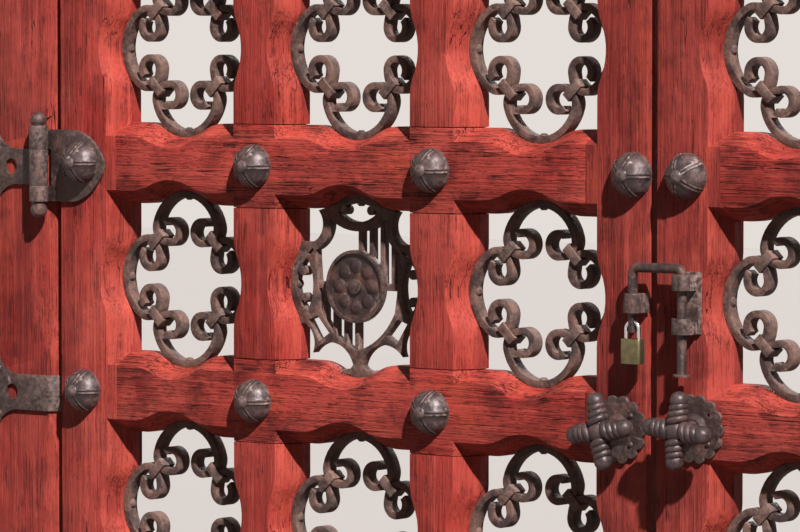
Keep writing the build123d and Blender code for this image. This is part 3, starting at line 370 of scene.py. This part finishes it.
# Forged iron: hammer dents, scale, soot, rust, worn edges and painted shade in hollows
def makeForgedSkin():
    inputs = {"Vector": "Vector", "Iron": "Color", "Rust": "Color", "Worn": "Color", "Soot": "Color"}
    inputs.update({"Rusting": "Float", "Wear": "Float", "Start": "Float", "Speckle": "Float"})
    inputs.update({"Sheen": "Float", "Metal": "Float"})
    outputs = {"Color": "Color", "Roughness": "Float", "Metallic": "Float", "Height": "Float"}
    group, entry, leave = newGroup("forgedSkin", inputs, outputs)
    looks = forgedLooks
    place = entry.outputs["Vector"]
    worn = entry.outputs["Worn"]
    patches = addNoise(group, place, *looks["patches"])
    scale = addNoise(group, place, *looks["scale"])
    fine = addNoise(group, place, *looks["fine"])
    dents = addNode(group, "ShaderNodeTexVoronoi", looks["dents"], feature="SMOOTH_F1")
    link(group, place, dents.inputs["Vector"])
    threshold = addMath(group, "SUBTRACT", looks["rustStart"], entry.outputs["Rusting"])
    patchPart = addProduct(group, patches, looks["patchShare"])
    rustField = addMath(group, "ADD", patchPart, addProduct(group, scale, looks["scaleShare"]))
    rustOver = addMath(group, "SUBTRACT", rustField, threshold)
    rust = addProduct(group, rustOver, looks["rustGain"], clamp=True)
    # This node gives the worn edge mask and the mask of hollows for painted shade
    wear = addNode(group, "ShaderNodeGroup", node_tree=edgeWearAndHollowShade)
    wear.inputs["Breakup"].default_value = looks["wearBreakup"]
    link(group, place, wear.inputs["Vector"])
    link(group, entry.outputs["Start"], wear.inputs["Start"])
    link(group, entry.outputs["Wear"], wear.inputs["Amount"])

    iron = entry.outputs["Iron"]
    colour = addLayer(group, iron, rust, looks["rustLayer"], entry.outputs["Rust"])
    speckle = addRamp(group, scale, *looks["speckleRamp"])
    colour = addLayer(group, colour, speckle, entry.outputs["Speckle"], worn)
    soot = addRamp(group, patches, *looks["sootRamp"])
    colour = addLayer(group, colour, soot, looks["sootLayer"], entry.outputs["Soot"])
    colour = addMix(group, wear.outputs["Mask"], colour, worn)
    # Painted shade: hollows and grooves are darkened towards a near-black colour
    hollow = addColour(group, looks["hollowShadeColour"])
    colour = addLayer(group, colour, wear.outputs["HollowShade"], looks["hollowShadeLayer"], hollow)
    link(group, colour, leave.inputs["Color"])

    rustRough = addProduct(group, rust, looks["rustRoughness"])
    scaleRough = addProduct(group, scale, looks["scaleRoughness"])
    rough = addMath(group, "ADD", entry.outputs["Sheen"], rustRough)
    rough = addMath(group, "ADD", rough, scaleRough, clamp=True)
    link(group, rough, leave.inputs["Roughness"])
    dulled = addProduct(group, rust, looks["rustMetal"])
    metal = addMath(group, "SUBTRACT", entry.outputs["Metal"], dulled, clamp=True)
    link(group, metal, leave.inputs["Metallic"])
    parts = [(dents.outputs["Distance"], looks["dentHeight"]), (scale, looks["scaleHeight"])]
    height = addHeight(group, parts + [(fine, looks["fineHeight"])])
    link(group, height, leave.inputs["Height"])
    return group


forgedSkin = makeForgedSkin()


def newMaterial(name):
    material = bpy.data.materials.new(name)
    material.use_nodes = True
    tree = material.node_tree
    shader = tree.nodes["Principled BSDF"]
    coords = addNode(tree, "ShaderNodeTexCoord").outputs["Object"]
    return material, tree, shader, coords


def addMapping(tree, coords, stretch, shift=(0.0, 0.0, 0.0)):
    mapping = addNode(tree, "ShaderNodeMapping", {"Location": shift, "Scale": stretch})
    link(tree, coords, mapping.inputs["Vector"])
    return mapping.outputs["Vector"]


def addBump(tree, shader, height, distance, strength):
    bump = addNode(tree, "ShaderNodeBump", {"Distance": distance, "Strength": strength})
    link(tree, height, bump.inputs["Height"])
    link(tree, bump.outputs["Normal"], shader.inputs["Normal"])


# stretch draws the grain out along Z on the uprights, along X on the rails and the head beam
timberLooks = {
    "colours": {
        "Paint": (0.375, 0.037, 0.029, 1),
        "Faded": (0.52, 0.082, 0.061, 1),
        # This colour shows on worn edges and, as a painted highlight, on cut faces
        "FreshAndPaintedLight": (0.52, 0.074, 0.046, 1),
        "Deep": (0.070, 0.011, 0.011, 1),
        "Bare": (0.50, 0.33, 0.29, 1),
    },
    "uprightTimber": {"stretch": (1.0, 1.0, 0.025), "shift": (0.0, 0.0, 0.0), "weather": 0.45},
    "acrossTimber": {"stretch": (0.025, 1.0, 1.0), "shift": (3.1, 0.4, 1.7), "weather": 1.0},
    "gloss": 0.14,
    "relief": 0.0032,
    "reliefStrength": 1.0,
}


def makeTimber(name):
    looks = timberLooks[name]
    material, tree, shader, coords = newMaterial(name)
    paint = addNode(tree, "ShaderNodeGroup", node_tree=weatheredPaint)
    for socketName, colour in timberLooks["colours"].items():
        paint.inputs[socketName].default_value = colour
    link(tree, addMapping(tree, coords, looks["stretch"], looks["shift"]), paint.inputs["Vector"])
    link(tree, coords, paint.inputs["Place"])
    paint.inputs["Weather"].default_value = looks["weather"]
    for markName in ("sloped", "shade"):
        mark = addNode(tree, "ShaderNodeAttribute", attribute_name=markName)
        link(tree, mark.outputs["Fac"], paint.inputs[markName.capitalize()])
    link(tree, paint.outputs["Color"], shader.inputs["Base Color"])
    link(tree, paint.outputs["Roughness"], shader.inputs["Roughness"])
    shader.inputs["Specular IOR Level"].default_value = timberLooks["gloss"]
    height = paint.outputs["Height"]
    addBump(tree, shader, height, timberLooks["relief"], timberLooks["reliefStrength"])
    return material


# skin holds the values of the forged skin's inputs; dents is the depth of its bump in metres
ironLooks = {
    "grilleIron": {
        "skin": {
            "Iron": (0.095, 0.063, 0.058, 1),
            "Rust": (0.20, 0.108, 0.084, 1),
            "Worn": (0.38, 0.26, 0.22, 1),
            "Soot": (0.030, 0.019, 0.018, 1),
            "Rusting": 0.42,
            "Wear": 0.5,
            "Start": 0.525,
            "Speckle": 0.34,
            "Sheen": 0.52,
            "Metal": 0.06,
        },
        "dents": 0.0011,
        "gloss": 0.14,
        "tint": (1.0, 0.93, 0.90, 1),
    },
    "bossIron": {
        "skin": {
            "Iron": (0.042, 0.027, 0.027, 1),
            "Rust": (0.080, 0.038, 0.032, 1),
            "Worn": (0.42, 0.29, 0.26, 1),
            "Soot": (0.016, 0.010, 0.011, 1),
            "Rusting": 0.34,
            "Wear": 1.0,
            # Start is low so that the raised ribs of the bosses take the worn colour too: worn rib
            # edges and a painted highlight on the ribs
            "Start": 0.512,
            "Speckle": 0.14,
            "Sheen": 0.33,
            "Metal": 0.08,
        },
        "dents": 0.0007,
        "gloss": 0.5,
        "tint": (1.0, 0.88, 0.87, 1),
    },
    "strapIron": {
        "skin": {
            "Iron": (0.046, 0.028, 0.026, 1),
            "Rust": (0.130, 0.060, 0.046, 1),
            "Worn": (0.38, 0.26, 0.23, 1),
            "Soot": (0.014, 0.010, 0.010, 1),
            "Rusting": 0.36,
            "Wear": 0.8,
            "Start": 0.52,
            "Speckle": 0.18,
            "Sheen": 0.36,
            "Metal": 0.08,
        },
        "dents": 0.0012,
        "gloss": 0.36,
        "tint": (1.0, 0.88, 0.86, 1),
    },
}
dentStrength = 0.8


def makeIron(name):
    looks = ironLooks[name]
    material, tree, shader, coords = newMaterial(name)
    skin = addNode(tree, "ShaderNodeGroup", node_tree=forgedSkin)
    for socketName, value in looks["skin"].items():
        skin.inputs[socketName].default_value = value
    link(tree, coords, skin.inputs["Vector"])
    link(tree, skin.outputs["Color"], shader.inputs["Base Color"])
    link(tree, skin.outputs["Roughness"], shader.inputs["Roughness"])
    link(tree, skin.outputs["Metallic"], shader.inputs["Metallic"])
    shader.inputs["Specular IOR Level"].default_value = looks["gloss"]
    shader.inputs["Specular Tint"].default_value = looks["tint"]
    addBump(tree, shader, skin.outputs["Height"], looks["dents"], dentStrength)
    return material


brassLooks = {
    "brushing": (1.0, 1.0, 0.08),
    "lines": (1800.0, 2.0),
    "stain": (120.0, 5.0, 0.65),
    "stainRamp": (0.35, 0.7),
    "clean": (0.23, 0.19, 0.095, 1),
    "stained": (0.12, 0.105, 0.06, 1),
    "metal": 0.85,
    "roughness": 0.3,
    "stainRoughness": 0.25,
    "lineDepth": 0.00012,
    "lineStrength": 0.5,
}


def makeBrass():
    looks = brassLooks
    material, tree, shader, coords = newMaterial("dullBrass")
    lines = addNoise(tree, addMapping(tree, coords, looks["brushing"]), *looks["lines"])
    stain = addNoise(tree, coords, *looks["stain"])
    stained = addRamp(tree, stain, *looks["stainRamp"])
    link(tree, addMix(tree, stained, looks["clean"], looks["stained"]), shader.inputs["Base Color"])
    shader.inputs["Metallic"].default_value = looks["metal"]
    rough = addMath(tree, "ADD", looks["roughness"], addProduct(tree, stain, looks["stainRoughness"]))
    link(tree, rough, shader.inputs["Roughness"])
    addBump(tree, shader, lines, looks["lineDepth"], looks["lineStrength"])
    return material


steelLooks = {
    "scuff": (500.0, 4.0, 0.6),
    "scuffRamp": (0.4, 0.75),
    "bright": (0.72, 0.72, 0.74, 1),
    "scuffed": (0.45, 0.44, 0.44, 1),
    "metal": 1.0,
    "roughness": 0.14,
    "scuffRoughness": 0.2,
}


def makeBrightSteel():
    looks = steelLooks
    material, tree, shader, coords = newMaterial("brightSteel")
    scuff = addNoise(tree, coords, *looks["scuff"])
    scuffed = addRamp(tree, scuff, *looks["scuffRamp"])
    link(tree, addMix(tree, scuffed, looks["bright"], looks["scuffed"]), shader.inputs["Base Color"])
    shader.inputs["Metallic"].default_value = looks["metal"]
    rough = addMath(tree, "ADD", looks["roughness"], addProduct(tree, scuff, looks["scuffRoughness"]))
    link(tree, rough, shader.inputs["Roughness"])
    return material


uprightTimber = makeTimber("uprightTimber")
acrossTimber = makeTimber("acrossTimber")
grilleIron = makeIron("grilleIron")
bossIron = makeIron("bossIron")
strapIron = makeIron("strapIron")
dullBrass = makeBrass()
brightSteel = makeBrightSteel()
print("materials made")


# Width of the worn edge in metres, and the least angle in degrees of an edge that wears
wornEdges = {
    "timber": {"width": 0.0022, "segments": 3, "angle": 24, "miter": "MITER_ARC"},
    "grille": {"width": 0.0011, "segments": 2, "angle": 40, "miter": "MITER_SHARP"},
    "iron": {"width": 0.0010, "segments": 2, "angle": 35, "miter": "MITER_SHARP"},
    "fine": {"width": 0.0004, "segments": 2, "angle": 35, "miter": "MITER_SHARP"},
}

# Each node by its name without the side: its material and how its edges are worn
finishes = {
    "jamb": (uprightTimber, "timber"),
    "head_beam": (acrossTimber, "timber"),
    "hinge_stile": (uprightTimber, "timber"),
    "meeting_stile": (uprightTimber, "timber"),
    "muntins": (uprightTimber, "timber"),
    "scrolls": (grilleIron, "grille"),
    "collars": (grilleIron, "grille"),
    "grille_nails": (grilleIron, "fine"),
    "shield": (grilleIron, "grille"),
    # The medallion gets the darker strap iron rather than the grille iron, as painted shade
    "medallion": (strapIron, "iron"),
    "hinge_plates": (strapIron, "iron"),
    "bosses": (bossIron, "fine"),
    "rose": (strapIron, "iron"),
    "rose_screws": (strapIron, "fine"),
    "handle": (bossIron, "fine"),
    "handle_nut": (strapIron, "iron"),
    "top_hinge_strap": (strapIron, "iron"),
    "middle_hinge_strap": (strapIron, "iron"),
    "bottom_hinge_strap": (strapIron, "iron"),
    "band_straps": (strapIron, "iron"),
    "hinge_pins": (strapIron, "fine"),
    "strap_nails": (strapIron, "fine"),
    "bolt_plate": (strapIron, "iron"),
    "bolt_keeper": (strapIron, "iron"),
    "sliding_bolt": (strapIron, "fine"),
    "padlock_body": (dullBrass, "iron"),
    "padlock_shackle": (brightSteel, "fine"),
}


def finishOf(nodeName):
    plain = nodeName.removeprefix("left_").removeprefix("right_")
    if plain.startswith("rail_"):
        return acrossTimber, "timber"
    return finishes[plain]


# Painted shade: how much darker than the rest a timber is, from 0 to 1
paintedTimberShades = {
    "left_jamb": 0.34,
    "right_jamb": 0.34,
    "left_meeting_stile": 0.42,
    "right_meeting_stile": 0.40,
    "left_muntins": 0.10,
    "right_muntins": 0.14,
    "left_hinge_stile": 0.05,
}

# A face counts as half cut or flat from these shares of its normal along one axis; cut faces lose
# shadeLoss of the painted shade
cutFaces = {"halfCut": 0.9, "flat": 0.985, "halfCutMark": 0.5, "shadeLoss": 0.3}


def cutMark(face):
    flatness = max(abs(part) for part in face.normal)
    if flatness > cutFaces["flat"]:
        return 0.0
    if flatness > cutFaces["halfCut"]:
        return cutFaces["halfCutMark"]
    return 1.0


# Marks the cut and rounded faces, which get a painted highlight, and the timber's painted shade
def markTimber(piece, nodeName):
    sloped = piece.data.attributes.new("sloped", "FLOAT", "FACE")
    shade = piece.data.attributes.new("shade", "FLOAT", "FACE")
    paintedPieceShade = paintedTimberShades.get(nodeName, 0.0)
    for face in piece.data.polygons:
        mark = cutMark(face)
        sloped.data[face.index].value = mark
        shade.data[face.index].value = paintedPieceShade * (1 - cutFaces["shadeLoss"] * mark)


# An open joint's width at the face and its depth in metres; smaller level faces are not ends
openJoint = {"gap": 0.0016, "depth": 0.006, "endFaceArea": 0.001, "levelNormal": 0.999}


# Draws the ends of the muntins back from the rails, so that each joint shows as a dark line
def openJoints(piece):
    joint = openJoint
    for direction in (1, -1):
        bpy.ops.object.mode_set(mode="EDIT")
        bpy.ops.mesh.select_mode(type="FACE")
        bpy.ops.mesh.select_all(action="DESELECT")
        bpy.ops.object.mode_set(mode="OBJECT")
        for face in piece.data.polygons:
            level = face.normal.z * direction > joint["levelNormal"]
            face.select = level and face.area > joint["endFaceArea"]
        bpy.ops.object.mode_set(mode="EDIT")
        bpy.ops.transform.translate(value=(0, 0, -direction * joint["gap"]))
        bpy.ops.mesh.inset(thickness=joint["depth"])
        bpy.ops.transform.translate(value=(0, 0, direction * joint["gap"]))


# Corners closer than mergeDistance become one; triangles within flatAngle degrees become one face
wornCopy = {"mergeDistance": 0.00002, "flatAngle": 0.6, "smoothMargin": 4, "manyTriangles": 60000}


# A copy of a node with its corners merged, its flat faces whole and its edges rounded by wear
def wearNode(nodeName):
    material, kind = finishOf(nodeName)
    wear = wornEdges[kind]
    pick(nodes[nodeName])
    bpy.ops.object.duplicate()
    piece = bpy.context.active_object
    piece.name = nodeName + "_worn"
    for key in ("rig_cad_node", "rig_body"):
        if key in piece:
            del piece[key]
    piece.data.materials.clear()
    piece.data.materials.append(material)
    bpy.ops.object.mode_set(mode="EDIT")
    bpy.ops.mesh.select_all(action="SELECT")
    bpy.ops.mesh.remove_doubles(threshold=wornCopy["mergeDistance"])
    bpy.ops.mesh.customdata_custom_splitnormals_clear()
    bpy.ops.mesh.dissolve_limited(angle_limit=math.radians(wornCopy["flatAngle"]))
    if nodeName.endswith("muntins"):
        openJoints(piece)
    pick(piece)
    bevel = piece.modifiers.new("wornEdge", "BEVEL")
    bevel.width = wear["width"]
    bevel.segments = wear["segments"]
    bevel.limit_method = "ANGLE"
    bevel.angle_limit = math.radians(wear["angle"])
    bevel.miter_outer = wear["miter"]
    bpy.ops.object.modifier_apply(modifier=bevel.name)
    smoothAngle = math.radians(wear["angle"] + wornCopy["smoothMargin"])
    bpy.ops.object.shade_smooth_by_angle(angle=smoothAngle)
    if kind == "timber":
        markTimber(piece, nodeName)
    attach(piece, bodyOf[nodeName])
    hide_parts(nodeName)
    return piece


triangleCount = 0
for nodeName in sorted(nodes):
    worn = wearNode(nodeName)
    triangles = sum(len(face.vertices) - 2 for face in worn.data.polygons)
    triangleCount += triangles
    if triangles > wornCopy["manyTriangles"]:
        print("many triangles:", nodeName, triangles)
print("worn pieces made:", triangleCount, "triangles")


studio = {
    "floorSize": 40.0,
    "floorNoise": (1.2, 2.0),
    "floorShown": ((0.405, 0.369, 0.349, 1), (0.425, 0.387, 0.366, 1)),
    "floorUnseen": (0.055, 0.05, 0.047, 1),  # what the object itself gets back from the floor
    "floorRoughness": 0.85,
    "backdrop": (0.78, 0.72, 0.68, 1),
    "fill": 0.04,
    "fillColour": (1.0, 0.97, 0.94, 1),
    "lampDistance": 6.0,
}


# Everything that sees the backdrop as the camera does: the camera, mirrors and glass
def addSeen(tree):
    paths = addNode(tree, "ShaderNodeLightPath")
    seen = addMath(tree, "MAXIMUM", paths.outputs["Is Camera Ray"], paths.outputs["Is Glossy Ray"])
    return addMath(tree, "MAXIMUM", seen, paths.outputs["Is Transmission Ray"])


def makeFloor():
    deselectAll()
    bpy.ops.mesh.primitive_plane_add(size=studio["floorSize"], location=(0, 0, 0))
    floor = bpy.context.active_object
    floor.name = "floor"
    material, tree, shader, coords = newMaterial("paleFloor")
    colour = addMix(tree, addNoise(tree, coords, *studio["floorNoise"]), *studio["floorShown"])
    colour = addMix(tree, addSeen(tree), studio["floorUnseen"], colour)
    link(tree, colour, shader.inputs["Base Color"])
    shader.inputs["Roughness"].default_value = studio["floorRoughness"]
    floor.data.materials.append(material)


def makeWorld():
    world = bpy.data.worlds.new("studio")
    bpy.context.scene.world = world
    world.use_nodes = True
    tree = world.node_tree
    tree.nodes.clear()
    fillValues = {"Color": studio["fillColour"], "Strength": studio["fill"]}
    fill = addNode(tree, "ShaderNodeBackground", fillValues)
    shown = addNode(tree, "ShaderNodeBackground", {"Color": studio["backdrop"], "Strength": 1.0})
    mixed = addNode(tree, "ShaderNodeMixShader")
    link(tree, addSeen(tree), mixed.inputs[0])
    link(tree, fill.outputs[0], mixed.inputs[1])
    link(tree, shown.outputs[0], mixed.inputs[2])
    out = addNode(tree, "ShaderNodeOutputWorld")
    link(tree, mixed.outputs[0], out.inputs["Surface"])


# Each lamp: where it stands from the object, its strength, and its width in degrees
lamps = {
    "keyLight": {"from": (0.60, -0.405, 0.69), "strength": 6.3, "angle": 1.6},
    "backLight": {"from": (-0.22, 0.88, 0.42), "strength": 1.0, "angle": 20.0},
}


def makeSun(name):
    looks = lamps[name]
    away = Vector(looks["from"])
    deselectAll()
    bpy.ops.object.light_add(type="SUN", location=away * studio["lampDistance"])
    sun = bpy.context.active_object
    sun.name = name
    sun.data.energy = looks["strength"]
    sun.data.angle = math.radians(looks["angle"])
    sun.rotation_euler = away.to_track_quat("Z", "Y").to_euler()


cameraLooks = {
    "position": (4.054, -5.828, 1.445),
    "target": (-0.4835, -0.020, 1.073),
    "lens": 210.5,
    "sensorWidth": 36.0,
}


def makeCamera():
    deselectAll()
    bpy.ops.object.camera_add(location=cameraLooks["position"])
    camera = bpy.context.active_object
    camera.data.lens = cameraLooks["lens"]
    camera.data.sensor_width = cameraLooks["sensorWidth"]
    away = Vector(cameraLooks["position"]) - Vector(cameraLooks["target"])
    camera.rotation_euler = away.to_track_quat("Z", "Y").to_euler()
    bpy.context.scene.camera = camera


makeFloor()
makeWorld()
makeSun("keyLight")
makeSun("backLight")
makeCamera()
bpy.context.scene.view_settings.view_transform = "Standard"
deselectAll()
print("studio made")

bpy.context.view_layer.update()
